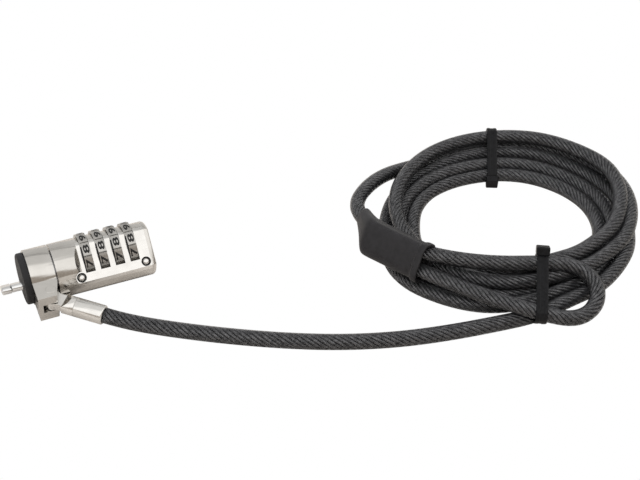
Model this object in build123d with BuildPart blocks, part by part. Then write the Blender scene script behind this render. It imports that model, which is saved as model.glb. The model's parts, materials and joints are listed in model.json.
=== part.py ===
from build123d import *
import os
from math import cos, pi, radians, sin, tan

# Combination cable lock for a laptop: a barrel with four dials, a swivelling collar whose lug
# holds the cable, and a long steel cable that ends in a crimped eye loop.
# The origin is the centre of the rubber bumper's seating face. +X runs along the barrel to its
# rear and +Z is up. Everything rests on a floor that is one barrel radius below the origin.

# Barrel, along X
BARREL_R = 10.4
FLOOR_Z = -BARREL_R
BUMPER_R = 9.7
BUMPER_T = 2.45
BUMPER_ROUND = 0.8
COLLAR_X = 2.6
COLLAR_END = 11.4
HOUSING_X = 12.0
HOUSING_END = 47.2
REAR_X = 49.0
NECK_R = 7.4
PLUG_R = 8.6
PLUG_END = 14.6
CHAMBER_R = 7.6
CHAMBER_END = 20.0
RUNNING_GAP = 0.06
SHELL_GAP = 0.3

# Dial facet
FACET_TILT = 38.0
FACET_N = 7.8
PLATE_T = 1.2
PLATE_X = 21.3
SLOPE_X = 19.3
RIVET_X = (20.6, 45.2)
RIVET_UP = -5.0
RIVET_R = 1.15
RIVET_SEAT_R = 1.8
RIVET_SEAT_DEPTH = 0.5
RIVET_DOME_H = 0.75
RIVET_SHANK_R = 0.7
RIVET_DEPTH = 1.2
LOBE_R = 2.2
WINDOW_W = 3.6
WINDOW_LOW = -3.7
FIN_CLEARANCE = 0.4
CAP_POCKET_R = 8.3
CAP_POCKET_N = 5.3
CAP_SPIGOT = 1.3
CAP_ROUND = 1.3

# Dials
DIAL_COUNT = 4
DIAL_PITCH = 5.65
DIAL_X = 24.45
DIAL_R = 8.6
DIAL_W = 3.4
DIAL_UP = 2.8
DIAL_GROOVE_R = 0.28
DIGITS = 10
DIGIT_LEAN = 14.5
HUB_R = 5.0
SLEEVE_R = 3.3
SHAFT_R = 2.2
SLOT_W = 3.8
SLOT_R = 8.95
GATE_W = 1.9
GATE_R = 4.4
FIN_W = 1.4
FIN_R = 3.2
FIN_T = 0.8
FIN_GAP = 0.25
DIALS_X = [DIAL_X + i * DIAL_PITCH for i in range(DIAL_COUNT)]
SLEEVE_END = 44.3

# Nose and release
NOSE_UP = -2.2
NOSE_TURN = 105
NOSE_T = 2.9
GUIDE_W = 5.0
GUIDE_X = -4.2
GUIDE_END = 5.0
BAR_W = 6.2
BAR_X = -7.8
BAR_END = -4.4
BAR_CHAMFER = 0.35
STEM_R = 1.0
SPINDLE_R = 1.55
SPINDLE_END = 19.6
ARM_X = 18.2
ARM_T = 1.5
ARM_W = 3.2
ARM_BOSS_R = 2.7
BUTTON_X = 46.5
BUTTON_END = 48.9
BUTTON_R = 4.4
BUTTON_ROUND = 0.5
BUTTON_SKIN = 1.0
RESET_UP = -6.4
RESET_R = 1.5
RESET_SHANK_R = 1.0
RESET_GAP = 0.1
DRIVER_SLOT_W = 0.6
FLANGE_R = 2.35
FLANGE_T = 0.6
FLANGE_GAP = 0.2
SPRING_R = 2.0
SPRING_WIRE_R = 0.18
SPRING_TURNS = 4
SPRING_SEAT = 1.6

# Detent spring, in a pocket below the dials: a leaf with one bent finger for each dial
LEAF_UP = -8.6
LEAF_T = 0.3
LEAF_W = 4.4
LEAF_END = 1.6
FINGER = [(-8.55, 2.0), (-5.6, -3.3), (-6.5, -4.5)]
FINGER_W = 2.2
FINGER_T = 0.25
LEAF_POCKET = (-7.4, 0, 3.0, 4.8)
FINGER_POCKET = (-6.2, -2.6, 2.4, 4.8)
POCKET_END = 0.4

# Retaining ring, in a groove of the neck
RING_X = 2.8
RING_T = 0.9
RING_GROOVE = 0.5
RING_STAND = 1.1
RING_GAP = 3.0
RING_RECESS = 1.4

# Collar lug and cable fitting
LUG_DROP = 12.0
LUG_HALF = 6.0
LUG_REACH = 16.6
CLEVIS_HALF = 2.0
CLEVIS_X = 4.2
CLEVIS_DEPTH = 9.6
LUG_FRONT = 6.9
LUG_SLOPE = 6.6
HORN = [(-1.4, -9.0), (-1.4, -12.8), (3.2, -12.8), (4.6, -9.0)]
HORN_H = 3.4
PIN_X = 8.1
PIN_REACH = 13.2
PIN_R = 1.2
PIN_HEAD_R = 1.85
PIN_HEAD_T = 0.8
PIN_HEAD_STAND = 0.15
FITTING_TURN = 40.0
EYE_R = 3.4
TONGUE_HALF = 1.7
TONGUE_W = 5.2
WEDGE_START = 5.0
WEDGE_END = 7.6
FERRULE_R = 3.6
FERRULE_START = 9.5
FERRULE_END = 20.5
FERRULE_CHAMFER = 0.35
CORE_R = 2.2

# Cable
CABLE_R = 2.9
LYING_Z = FLOOR_Z + CABLE_R
COIL_X = 188.3
COIL_Y = -36.8
RING_CENTRE = (190.5, -34.3)
RING_R = 55.0
HOLE_CENTRE = (184.5, -34.3)
HOLE_R = 33.6
COIL_H = 15.6
COIL_ROUND = 5.0

# Cable ties: angle round the coil, then the wrapped section's inner and outer radius and height
STRAP_W = 4.2
STRAP_T = 1.0
STRAP_ROUND = 5.0
TIE_FRONT = (252.0, 29.6, 62.6, 19.0)
TIE_BACK = (70.5, 34.6, 57.4, 17.6)
TIE_HEAD = (3.0, 5.0, 6.0)

# The lead lies on the floor from the ferrule to the coil
LEAD_ROUTE = [
    (29.9, -30.8, -6.6),
    (43.0, -40.0, LYING_Z),
    (60.5, -52.0, LYING_Z),
    (79.5, -63.4, LYING_Z),
    (98.0, -72.5, LYING_Z),
    (116.5, -79.0, LYING_Z),
    (134.5, -83.0, LYING_Z),
    (152.0, -85.6, LYING_Z),
    (168.0, -87.4, LYING_Z),
    (183.0, -84.6, LYING_Z),
]
# The tail leaves the coil, bends round and enters the neck of the sleeve
TAIL_ROUTE = [
    (177.0, 14.0, -3.6),
    (165.2, 12.2, -2.2),
    (152.5, 6.8, 1.2),
    (141.0, -1.2, 3.6),
    (131.6, -10.2, 4.4),
    (128.2, -20.6, 5.2),
]
# The eye loop leaves the sleeve high, turns on the floor side and comes back low
LOOP_ROUTE = [
    (149.0, -61.4, 5.6),
    (162.0, -68.6, 4.9),
    (176.0, -73.6, 4.3),
    (186.6, -76.8, 2.8),
    (192.4, -81.0, 0.6),
    (194.0, -87.0, -2.4),
    (190.8, -92.4, -5.0),
    (184.4, -95.4, -6.8),
    (176.6, -95.4, -6.2),
    (167.4, -92.0, -3.0),
    (159.2, -86.2, -0.8),
    (151.8, -77.6, -0.4),
    (144.6, -67.4, -0.2),
]
# The sleeve leans on the coil with its lower edge outwards
SLEEVE_CENTRE = Vector(132.3, -44.2, 3.6)
SLEEVE_ALONG = Vector(0.433, -0.901, 0).normalized()
SLEEVE_TOP = Vector(0.405, 0.195, 0.893).normalized()
SLEEVE_L = 27.0
SLEEVE_H = 14.6
SLEEVE_T = 8.4
CRIMP_L = 19.0
CRIMP_H = 13.0
CRIMP_T = 7.0
PASSAGE = 3.2
SLEEVE_ROUND = 2.2
NECK_WALL = 1.2
NECK_BACK = 2.5

OUT = Vector(0, -cos(radians(FACET_TILT)), sin(radians(FACET_TILT)))
UP = Vector(0, sin(radians(FACET_TILT)), cos(radians(FACET_TILT)))
REACH = Vector(0, -cos(radians(LUG_DROP)), -sin(radians(LUG_DROP)))
PIN_AXIS = Vector(0, -sin(radians(LUG_DROP)), cos(radians(LUG_DROP)))
ALONG = Vector(1, 0, 0)
PIN = ALONG * PIN_X + REACH * PIN_REACH
PULL = ALONG * cos(radians(FITTING_TURN)) + REACH * sin(radians(FITTING_TURN))


def section(x):
    """Plane across the barrel at x, with its X up the dial facet and its Y out of it."""
    return Plane(origin=(x, 0, 0), x_dir=UP, z_dir=ALONG)


def facet(n):
    """Plane parallel to the dial facet at height n, with its X along the barrel and its Y up."""
    return Plane(origin=OUT * n, x_dir=ALONG, z_dir=OUT)


def lug_plane(n):
    """Plane across the hinge pin at height n, with its X along the barrel and its Y inwards."""
    return Plane(origin=PIN_AXIS * n, x_dir=ALONG, z_dir=PIN_AXIS)


def fitting_section(s):
    """Plane across the cable fitting at distance s from the hinge pin."""
    return Plane(origin=PIN + PULL * s, x_dir=PIN_AXIS, z_dir=PULL)


def ring_section(angle):
    """Upright plane through the coil's axis, with its X pointing outwards at this angle."""
    outward = Vector(cos(radians(angle)), sin(radians(angle)), 0)
    side = Vector(outward.Y, -outward.X, 0)
    return Plane(origin=(COIL_X, COIL_Y, FLOOR_Z), x_dir=outward, z_dir=side)


def save(part, label):
    """Label a finished piece and write it as its own STEP file."""
    part.label = label
    export_step(part, f"parts/{label}.step")


def route_radii(points):
    """Arc radii that let each bend of a route use most of its two runs."""
    radii = []
    for before, here, after in zip(points, points[1:], points[2:]):
        arriving = here - before
        leaving = after - here
        half_turn = radians(arriving.get_angle(leaving)) / 2
        radii.append(0.45 * min(arriving.length, leaving.length) / tan(half_turn))
    return radii


def cable(label, points):
    """Round cable along straight runs joined by tangent arcs."""
    points = [Vector(*point) for point in points]
    radii = route_radii(points)
    print(label, "radii:", " ".join(f"{radius:.1f}" for radius in radii))
    with BuildPart() as tube:
        with BuildLine() as path:
            FilletPolyline(*points, radius=radii)
        start = (points[1] - points[0]).normalized()
        with BuildSketch(Plane(origin=points[0], z_dir=start)):
            Circle(CABLE_R)
        sweep(path=path.wires()[0])
    length = path.wires()[0].length
    ideal = pi * CABLE_R**2 * length
    print(label, f"length {length:.1f}, volume {tube.part.volume:.0f}, section x length {ideal:.0f}")
    save(tube.part, label)
    return tube.part


def barrel_housing():
    side = Plane(origin=(0, 0, 0), x_dir=ALONG, z_dir=UP * -1)
    slope = (BARREL_R - FACET_N) / (PLATE_X - SLOPE_X)
    top = BARREL_R + 1
    with BuildPart() as housing:
        with BuildSketch(section(HOUSING_X)):
            Circle(BARREL_R)
        extrude(amount=HOUSING_END - HOUSING_X)
        with BuildSketch(side):
            with BuildLine():
                Polyline(
                    (PLATE_X, FACET_N),
                    (HOUSING_END + 1, FACET_N),
                    (HOUSING_END + 1, top),
                    (PLATE_X - (top - FACET_N) / slope, top),
                    close=True,
                )
            make_face()
        extrude(amount=BARREL_R, both=True, mode=Mode.SUBTRACT)
        with BuildSketch(facet(FACET_N - PLATE_T)):
            plate_outline()
        extrude(amount=BARREL_R, mode=Mode.SUBTRACT)
        with BuildSketch(section(HOUSING_X)):
            Circle(PLUG_R)
        extrude(amount=PLUG_END - HOUSING_X, mode=Mode.SUBTRACT)
        with BuildSketch(section(PLUG_END)):
            Circle(CHAMBER_R)
        extrude(amount=CHAMBER_END - PLUG_END, mode=Mode.SUBTRACT)
        for x in DIALS_X:
            with BuildSketch(section(x - SLOT_W / 2)):
                with Locations((DIAL_UP, 0)):
                    Circle(SLOT_R)
                    Rectangle(2 * SLOT_R, BARREL_R, align=(Align.CENTER, Align.MIN))
            extrude(amount=SLOT_W, mode=Mode.SUBTRACT)
        with BuildSketch(section(PLATE_X)):
            with Locations((DIAL_UP, 0)):
                Circle(SLEEVE_R)
                Rectangle(2 * SLEEVE_R, BARREL_R, align=(Align.CENTER, Align.MIN))
                Rectangle(FIN_R + FIN_CLEARANCE, FIN_W + 2 * FIN_CLEARANCE, align=(Align.MAX, Align.CENTER))
        extrude(amount=SLEEVE_END - PLATE_X, mode=Mode.SUBTRACT)
        with BuildSketch(section(CHAMBER_END)):
            with Locations((DIAL_UP, 0)):
                Circle(SHAFT_R + RUNNING_GAP)
        extrude(amount=PLATE_X - CHAMBER_END, mode=Mode.SUBTRACT)
        with BuildSketch(section(PLATE_X + POCKET_END)):
            for up, out, height, depth in (LEAF_POCKET, FINGER_POCKET):
                with Locations((up, out)):
                    Rectangle(height, depth)
        extrude(amount=SLEEVE_END - PLATE_X - 2 * POCKET_END, mode=Mode.SUBTRACT)
        with BuildSketch(section(SLEEVE_END)):
            rear_pocket(CAP_POCKET_R)
        extrude(amount=HOUSING_END - SLEEVE_END, mode=Mode.SUBTRACT)
        for x in RIVET_X:
            with BuildSketch(facet(FACET_N - PLATE_T)):
                with Locations((x, RIVET_UP)):
                    Circle(RIVET_SHANK_R)
            extrude(amount=-RIVET_DEPTH, mode=Mode.SUBTRACT)
    save(housing.part, "barrel_housing")


def plate_outline():
    """Outline of the cover plate: a long rectangle with a lobe round its front rivet."""
    with Locations((PLATE_X, 0)):
        Rectangle(HOUSING_END - PLATE_X, 2 * BARREL_R, align=(Align.MIN, Align.CENTER))
    with Locations((RIVET_X[0], RIVET_UP)):
        Circle(LOBE_R)


def rear_pocket(radius):
    """Round pocket at the rear, flattened so that it stays below the cover plate."""
    with Locations((0, CAP_POCKET_N)):
        Rectangle(2 * BARREL_R, 2 * BARREL_R, align=(Align.CENTER, Align.MAX))
    Circle(radius, mode=Mode.INTERSECT)


def dial_cover_plate():
    with BuildPart() as plate:
        with BuildSketch(facet(FACET_N - PLATE_T)):
            plate_outline()
        extrude(amount=PLATE_T)
        with BuildSketch(section(HOUSING_X)):
            Circle(BARREL_R)
        extrude(amount=HOUSING_END - HOUSING_X, mode=Mode.INTERSECT)
        with BuildSketch(facet(FACET_N)):
            for x in DIALS_X:
                with Locations((x, WINDOW_LOW)):
                    Rectangle(WINDOW_W, 2 * BARREL_R, align=(Align.CENTER, Align.MIN))
        extrude(amount=-PLATE_T, mode=Mode.SUBTRACT)
        with Locations(*[facet(FACET_N) * Location((x, RIVET_UP, 0)) for x in RIVET_X]):
            CounterBoreHole(RIVET_SHANK_R, RIVET_SEAT_R, RIVET_SEAT_DEPTH, depth=PLATE_T)
    save(plate.part, "dial_cover_plate")


def cover_rivets():
    seats = [facet(FACET_N - RIVET_SEAT_DEPTH) * Location((x, RIVET_UP, 0)) for x in RIVET_X]
    shank = PLATE_T - RIVET_SEAT_DEPTH + RIVET_DEPTH
    with BuildPart() as rivets:
        with Locations(*seats):
            Cylinder(RIVET_SHANK_R, shank, align=(Align.CENTER, Align.CENTER, Align.MAX))
            Cylinder(RIVET_R, RIVET_DOME_H, align=(Align.CENTER, Align.CENTER, Align.MIN))
        rims = rivets.edges().filter_by(GeomType.CIRCLE).group_by(Axis((0, 0, 0), OUT))[-1]
        fillet(rims, radius=0.9 * RIVET_DOME_H)
    save(rivets.part, "cover_rivets")


def rear_end_cap():
    with BuildPart() as cap:
        with BuildSketch(section(HOUSING_END)):
            Circle(BARREL_R)
        extrude(amount=REAR_X - HOUSING_END)
        with BuildSketch(section(HOUSING_END)):
            with Locations((0, FACET_N)):
                Rectangle(3 * BARREL_R, BARREL_R, align=(Align.CENTER, Align.MIN))
        extrude(amount=REAR_X, mode=Mode.SUBTRACT)
        fillet(cap.faces().sort_by(Axis.X)[-1].edges(), radius=CAP_ROUND)
        with BuildSketch(section(HOUSING_END - CAP_SPIGOT)):
            rear_pocket(CAP_POCKET_R)
        extrude(amount=CAP_SPIGOT)
        with BuildSketch(section(HOUSING_END - CAP_SPIGOT)):
            with Locations((DIAL_UP, 0)):
                Circle(BUTTON_R + RUNNING_GAP)
            with Locations((RESET_UP, 0)):
                Circle(RESET_R + RUNNING_GAP)
        extrude(amount=REAR_X, mode=Mode.SUBTRACT)
    save(cap.part, "rear_end_cap")


def neck_bush():
    with BuildPart() as neck:
        with BuildSketch(section(BUMPER_T)):
            Circle(NECK_R)
        extrude(amount=HOUSING_X - BUMPER_T)
        with BuildSketch(section(HOUSING_X)):
            Circle(PLUG_R)
        extrude(amount=PLUG_END - HOUSING_X)
        with BuildSketch(section(RING_X)):
            Circle(NECK_R)
            Circle(NECK_R - RING_GROOVE, mode=Mode.SUBTRACT)
        extrude(amount=RING_T, mode=Mode.SUBTRACT)
        with BuildSketch(section(BUMPER_T)):
            with Locations((NOSE_UP, 0)):
                SlotOverall(GUIDE_W, NOSE_T, rotation=NOSE_TURN)
        extrude(amount=GUIDE_END - BUMPER_T, mode=Mode.SUBTRACT)
        with BuildSketch(section(GUIDE_END)):
            with Locations((NOSE_UP, 0)):
                Circle(SPINDLE_R + RUNNING_GAP)
        extrude(amount=PLUG_END - GUIDE_END, mode=Mode.SUBTRACT)
        with BuildSketch(section(PLUG_END)):
            with Locations((DIAL_UP, 0)):
                Circle(STEM_R + SHELL_GAP)
        extrude(amount=-SPRING_SEAT, mode=Mode.SUBTRACT)
    save(neck.part, "neck_bush")


def nose_bumper():
    with BuildPart() as bumper:
        with BuildSketch(section(0)):
            Circle(BUMPER_R)
        extrude(amount=BUMPER_T)
        fillet(bumper.edges().filter_by(GeomType.CIRCLE).sort_by(Axis.X)[0], radius=BUMPER_ROUND)
        with BuildSketch(section(0)):
            with Locations((NOSE_UP, 0)):
                SlotOverall(GUIDE_W, NOSE_T, rotation=NOSE_TURN)
        extrude(amount=BUMPER_T, mode=Mode.SUBTRACT)
    save(bumper.part, "nose_bumper")


def nose_guide():
    with BuildPart() as guide:
        with BuildSketch(section(GUIDE_X)):
            with Locations((NOSE_UP, 0)):
                SlotOverall(GUIDE_W, NOSE_T, rotation=NOSE_TURN)
                Circle(STEM_R + RUNNING_GAP, mode=Mode.SUBTRACT)
        extrude(amount=GUIDE_END - GUIDE_X)
    save(guide.part, "nose_guide")


def t_bar_spindle():
    flange = PLUG_END + FLANGE_GAP
    steps = [
        (BAR_END, GUIDE_END + FLANGE_GAP, STEM_R),
        (GUIDE_END + FLANGE_GAP, SPINDLE_END, SPINDLE_R),
        (flange, flange + FLANGE_T, FLANGE_R),
    ]
    with BuildPart() as spindle:
        with BuildSketch(section(BAR_X)):
            with Locations((NOSE_UP, 0)):
                SlotOverall(BAR_W, NOSE_T, rotation=NOSE_TURN)
        extrude(amount=BAR_END - BAR_X)
        chamfer(spindle.faces().sort_by(Axis.X)[0].edges(), length=BAR_CHAMFER)
        for start, end, radius in steps:
            with BuildSketch(section(start)):
                with Locations((NOSE_UP, 0)):
                    Circle(radius)
            extrude(amount=end - start)
    save(spindle.part, "t_bar_spindle")


def collar_retaining_ring():
    with BuildPart() as ring:
        with BuildSketch(section(RING_X)):
            Circle(NECK_R + RING_STAND)
            Circle(NECK_R - RING_GROOVE, mode=Mode.SUBTRACT)
            with Locations((NECK_R, 0)):
                Rectangle(4 * RING_STAND, RING_GAP, mode=Mode.SUBTRACT)
        extrude(amount=RING_T)
    save(ring.part, "collar_retaining_ring")


def cable_collar():
    slot_height = 2 * CLEVIS_HALF
    with BuildPart() as collar:
        with BuildSketch(section(COLLAR_X)):
            Circle(BARREL_R)
        extrude(amount=COLLAR_END - COLLAR_X)
        with BuildSketch(lug_plane(0)):
            with BuildLine():
                Polyline(
                    (COLLAR_X, 0),
                    (COLLAR_X, -LUG_REACH),
                    (COLLAR_X + LUG_FRONT, -LUG_REACH),
                    (COLLAR_END, -LUG_REACH + LUG_SLOPE),
                    (COLLAR_END, 0),
                    close=True,
                )
            make_face()
        extrude(amount=LUG_HALF, both=True)
        with BuildSketch(lug_plane(-CLEVIS_HALF)):
            with Locations((PIN_X, -PIN_REACH)):
                Circle(EYE_R + SHELL_GAP)
            with Locations((CLEVIS_X, -CLEVIS_DEPTH)):
                Rectangle(2 * COLLAR_END, COLLAR_END, align=(Align.MIN, Align.MAX))
        extrude(amount=slot_height, mode=Mode.SUBTRACT)
        with BuildSketch(lug_plane(-CLEVIS_HALF)):
            with BuildLine():
                Polyline(*[(COLLAR_END + x, reach) for x, reach in HORN], close=True)
            make_face()
        extrude(amount=-HORN_H)
        with BuildSketch(section(COLLAR_END)):
            Circle(BARREL_R + SHELL_GAP)
        extrude(amount=COLLAR_END, mode=Mode.SUBTRACT)
        with BuildSketch(section(COLLAR_X)):
            Circle(NECK_R + RUNNING_GAP)
        extrude(amount=COLLAR_END, mode=Mode.SUBTRACT)
        with BuildSketch(section(COLLAR_X)):
            Circle(NECK_R + RING_RECESS)
        extrude(amount=RING_RECESS, mode=Mode.SUBTRACT)
        with Locations(lug_plane(LUG_HALF) * Location((PIN_X, -PIN_REACH, 0))):
            CounterBoreHole(PIN_R, PIN_HEAD_R, PIN_HEAD_T, depth=2 * LUG_HALF)
    save(collar.part, "cable_collar")


def hinge_pin():
    with BuildPart() as pin:
        with BuildSketch(lug_plane(-LUG_HALF)):
            with Locations((PIN_X, -PIN_REACH)):
                Circle(PIN_R)
        extrude(amount=2 * LUG_HALF)
        with BuildSketch(lug_plane(LUG_HALF - PIN_HEAD_T)):
            with Locations((PIN_X, -PIN_REACH)):
                Circle(PIN_HEAD_R)
        extrude(amount=PIN_HEAD_T + PIN_HEAD_STAND)
        rim = pin.edges().filter_by(GeomType.CIRCLE).sort_by(Axis(PIN, PIN_AXIS))[-1]
        chamfer(rim, length=0.8 * PIN_HEAD_STAND)
    save(pin.part, "hinge_pin")


def cable_end_fitting():
    flat = Plane(origin=PIN, x_dir=PULL, z_dir=PIN_AXIS)
    edge_on = Plane(origin=PIN, x_dir=PULL, z_dir=PIN_AXIS.cross(PULL) * -1)
    with BuildPart() as fitting:
        with BuildSketch(edge_on):
            with BuildLine():
                Polyline(
                    (WEDGE_START, TONGUE_HALF),
                    (WEDGE_END, FERRULE_R),
                    (FERRULE_START, FERRULE_R),
                    (FERRULE_START, -FERRULE_R),
                    (WEDGE_END, -FERRULE_R),
                    (WEDGE_START, -TONGUE_HALF),
                    close=True,
                )
            make_face()
        extrude(amount=FERRULE_R, both=True)
        with BuildSketch(fitting_section(0)):
            Circle(FERRULE_R)
        extrude(amount=FERRULE_START, mode=Mode.INTERSECT)
        with BuildSketch(flat):
            Circle(EYE_R)
            Rectangle(WEDGE_END, TONGUE_W, align=(Align.MIN, Align.CENTER))
        extrude(amount=TONGUE_HALF, both=True)
        with BuildSketch(flat):
            Circle(PIN_R + RUNNING_GAP)
        extrude(amount=TONGUE_HALF, both=True, mode=Mode.SUBTRACT)
    save(fitting.part, "cable_end_fitting")


def crimp_ferrule():
    with BuildPart() as ferrule:
        with BuildSketch(fitting_section(FERRULE_START)):
            Circle(FERRULE_R)
            Circle(CORE_R, mode=Mode.SUBTRACT)
        extrude(amount=FERRULE_END - FERRULE_START)
        rim = ferrule.edges().group_by(Axis(PIN, PULL))[-1].sort_by(SortBy.LENGTH)[-1]
        chamfer(rim, length=FERRULE_CHAMFER)
    save(ferrule.part, "crimp_ferrule")
    with BuildPart() as core:
        with BuildSketch(fitting_section(FERRULE_START)):
            Circle(CORE_R)
        extrude(amount=FERRULE_END - FERRULE_START)
    save(core.part, "cable_core_end")


def dial(number, x):
    """One dial wheel with ten finger grooves, and the gated tumbler ring pressed into it."""
    first_groove = 90 - DIGIT_LEAN - 180 / DIGITS
    with BuildPart() as wheel:
        with BuildSketch(section(x - DIAL_W / 2)):
            with Locations((DIAL_UP, 0)):
                Circle(DIAL_R)
                with PolarLocations(DIAL_R, DIGITS, start_angle=first_groove):
                    Circle(DIAL_GROOVE_R, mode=Mode.SUBTRACT)
                Circle(HUB_R, mode=Mode.SUBTRACT)
        extrude(amount=DIAL_W)
    save(wheel.part, f"dial_wheel_{number}")
    with BuildPart() as tumbler:
        with BuildSketch(section(x - DIAL_W / 2)):
            with Locations((DIAL_UP, 0)):
                Circle(HUB_R)
                Circle(SLEEVE_R + RUNNING_GAP, mode=Mode.SUBTRACT)
                Rectangle(GATE_R, GATE_W, align=(Align.MAX, Align.CENTER), mode=Mode.SUBTRACT)
        extrude(amount=DIAL_W)
    save(tumbler.part, f"tumbler_ring_{number}")


def dial_sleeve():
    with BuildPart() as sleeve:
        with BuildSketch(section(PLATE_X)):
            with Locations((DIAL_UP, 0)):
                Circle(SLEEVE_R)
                Circle(SHAFT_R + RUNNING_GAP, mode=Mode.SUBTRACT)
                Rectangle(2 * SLEEVE_R, GATE_W, align=(Align.MAX, Align.CENTER), mode=Mode.SUBTRACT)
        extrude(amount=SLEEVE_END - PLATE_X)
    save(sleeve.part, "dial_sleeve")


def release_shaft():
    with BuildPart() as shaft:
        with BuildSketch(section(ARM_X + ARM_T)):
            with Locations((DIAL_UP, 0)):
                Circle(SHAFT_R)
        extrude(amount=BUTTON_X - ARM_X - ARM_T)
        for x in DIALS_X:
            with BuildSketch(section(x + DIAL_W / 2 + FIN_GAP)):
                with Locations((DIAL_UP, 0)):
                    Rectangle(FIN_R, FIN_W, align=(Align.MAX, Align.CENTER))
            extrude(amount=FIN_T)
        for start, end in ((ARM_X, ARM_X + ARM_T), (BUTTON_X, BUTTON_END - BUTTON_SKIN)):
            with BuildSketch(section(start)):
                with Locations((DIAL_UP, 0)):
                    Circle(STEM_R)
            extrude(amount=end - start)
    save(shaft.part, "release_shaft")


def drive_arm():
    with BuildPart() as arm:
        with BuildSketch(section(ARM_X)):
            with Locations((DIAL_UP, 0)):
                Circle(ARM_BOSS_R)
            with Locations((NOSE_UP, 0)):
                Circle(ARM_BOSS_R)
            with Locations(((DIAL_UP + NOSE_UP) / 2, 0)):
                Rectangle(DIAL_UP - NOSE_UP, ARM_W)
            with Locations((DIAL_UP, 0)):
                Circle(STEM_R, mode=Mode.SUBTRACT)
            with Locations((NOSE_UP, 0)):
                Circle(SPINDLE_R + RUNNING_GAP, mode=Mode.SUBTRACT)
        extrude(amount=ARM_T)
    save(arm.part, "drive_arm")


def release_button():
    with BuildPart() as button:
        with BuildSketch(section(BUTTON_X)):
            with Locations((DIAL_UP, 0)):
                Circle(BUTTON_R)
        extrude(amount=BUTTON_END - BUTTON_X)
        fillet(button.faces().sort_by(Axis.X)[-1].edges(), radius=BUTTON_ROUND)
        with BuildSketch(section(BUTTON_X)):
            with Locations((DIAL_UP, 0)):
                Circle(STEM_R)
        extrude(amount=BUTTON_END - BUTTON_SKIN - BUTTON_X, mode=Mode.SUBTRACT)
    save(button.part, "release_button")


def button_spring():
    start = ALONG * (PLUG_END + SPRING_WIRE_R) + UP * DIAL_UP
    height = ARM_X - PLUG_END - 2 * SPRING_WIRE_R
    with BuildPart() as spring:
        with BuildLine() as coil:
            Helix(height / SPRING_TURNS, height, SPRING_R, center=start, direction=ALONG)
        with BuildSketch(Plane(origin=coil.line @ 0, z_dir=coil.line % 0)):
            Circle(SPRING_WIRE_R)
        sweep(path=coil.line)
    save(spring.part, "button_spring")


def detent_spring():
    with BuildPart() as spring:
        with BuildSketch(section(DIALS_X[0] - LEAF_END)):
            with Locations((LEAF_UP, 0)):
                Rectangle(LEAF_T, LEAF_W)
        extrude(amount=DIALS_X[-1] - DIALS_X[0] + 2 * LEAF_END)
        for x in DIALS_X:
            with BuildSketch(section(x - FINGER_W / 2)):
                with BuildLine():
                    Polyline(*FINGER)
                trace(line_width=FINGER_T)
            extrude(amount=FINGER_W)
    save(spring.part, "detent_spring")


def reset_screw():
    with BuildPart() as screw:
        with BuildSketch(section(HOUSING_END + RESET_GAP)):
            with Locations((RESET_UP, 0)):
                Circle(RESET_R)
        extrude(amount=REAR_X - HOUSING_END - 2 * RESET_GAP)
        with BuildSketch(section(SLEEVE_END + SHELL_GAP)):
            with Locations((RESET_UP, 0)):
                Circle(RESET_SHANK_R)
        extrude(amount=HOUSING_END + RESET_GAP - SLEEVE_END - SHELL_GAP)
        with BuildSketch(section(REAR_X - RESET_GAP)):
            with Locations((RESET_UP, 0)):
                Rectangle(2 * RESET_R, DRIVER_SLOT_W)
        extrude(amount=-DRIVER_SLOT_W, mode=Mode.SUBTRACT)
    save(screw.part, "reset_screw")


def cable_coil():
    """The outer shape of the coiled turns: a rounded ring, widest at the right."""
    with BuildPart() as coil:
        with BuildSketch(Plane.XY.offset(FLOOR_Z)):
            with Locations(RING_CENTRE):
                Circle(RING_R)
            with Locations(HOLE_CENTRE):
                Circle(HOLE_R, mode=Mode.SUBTRACT)
        extrude(amount=COIL_H)
        fillet(coil.edges().filter_by(GeomType.CIRCLE), radius=COIL_ROUND)
    save(coil.part, "cable_coil")


def strap(label, angle, inner, outer, height):
    """Cable tie round the turns at this angle of the ring, with its lock head on the inner side."""
    width = outer - inner
    head_w, head_h, head_up = TIE_HEAD
    with BuildPart() as tie:
        with BuildSketch(ring_section(angle)):
            with Locations(((inner + outer) / 2, height / 2)):
                RectangleRounded(width, height, radius=STRAP_ROUND)
                RectangleRounded(width - 2 * STRAP_T, height - 2 * STRAP_T,
                                 radius=STRAP_ROUND - STRAP_T, mode=Mode.SUBTRACT)
        extrude(amount=STRAP_W / 2, both=True)
        with BuildSketch(ring_section(angle)):
            with Locations((inner - STRAP_T, head_up)):
                Rectangle(head_w, head_h)
        extrude(amount=STRAP_W / 2 + 0.9, both=True)
    save(tie.part, label)


def loop_sleeve(cables_inside):
    start = SLEEVE_CENTRE - SLEEVE_ALONG * (SLEEVE_L / 2)
    body = Plane(origin=start, x_dir=SLEEVE_TOP, z_dir=SLEEVE_ALONG)
    neck_end = Vector(*TAIL_ROUTE[-1])
    neck_way = (start + SLEEVE_TOP * PASSAGE - neck_end).normalized()
    neck = Plane(origin=neck_end + neck_way * NECK_BACK, x_dir=SLEEVE_TOP, z_dir=neck_way)
    with BuildPart() as sleeve:
        with BuildSketch(body):
            RectangleRounded(SLEEVE_H, SLEEVE_T, radius=SLEEVE_ROUND)
        extrude(amount=SLEEVE_L)
        with BuildSketch(body):
            RectangleRounded(SLEEVE_H, SLEEVE_T, radius=SLEEVE_ROUND)
        with BuildSketch(neck):
            Circle(CABLE_R + NECK_WALL)
        loft()
        with BuildSketch(body.offset((SLEEVE_L - CRIMP_L) / 2)):
            SlotOverall(CRIMP_H, CRIMP_T)
        extrude(amount=CRIMP_L, mode=Mode.SUBTRACT)
        for inside in cables_inside:
            add(inside, mode=Mode.SUBTRACT)
    save(sleeve.part, "loop_sleeve")


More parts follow.
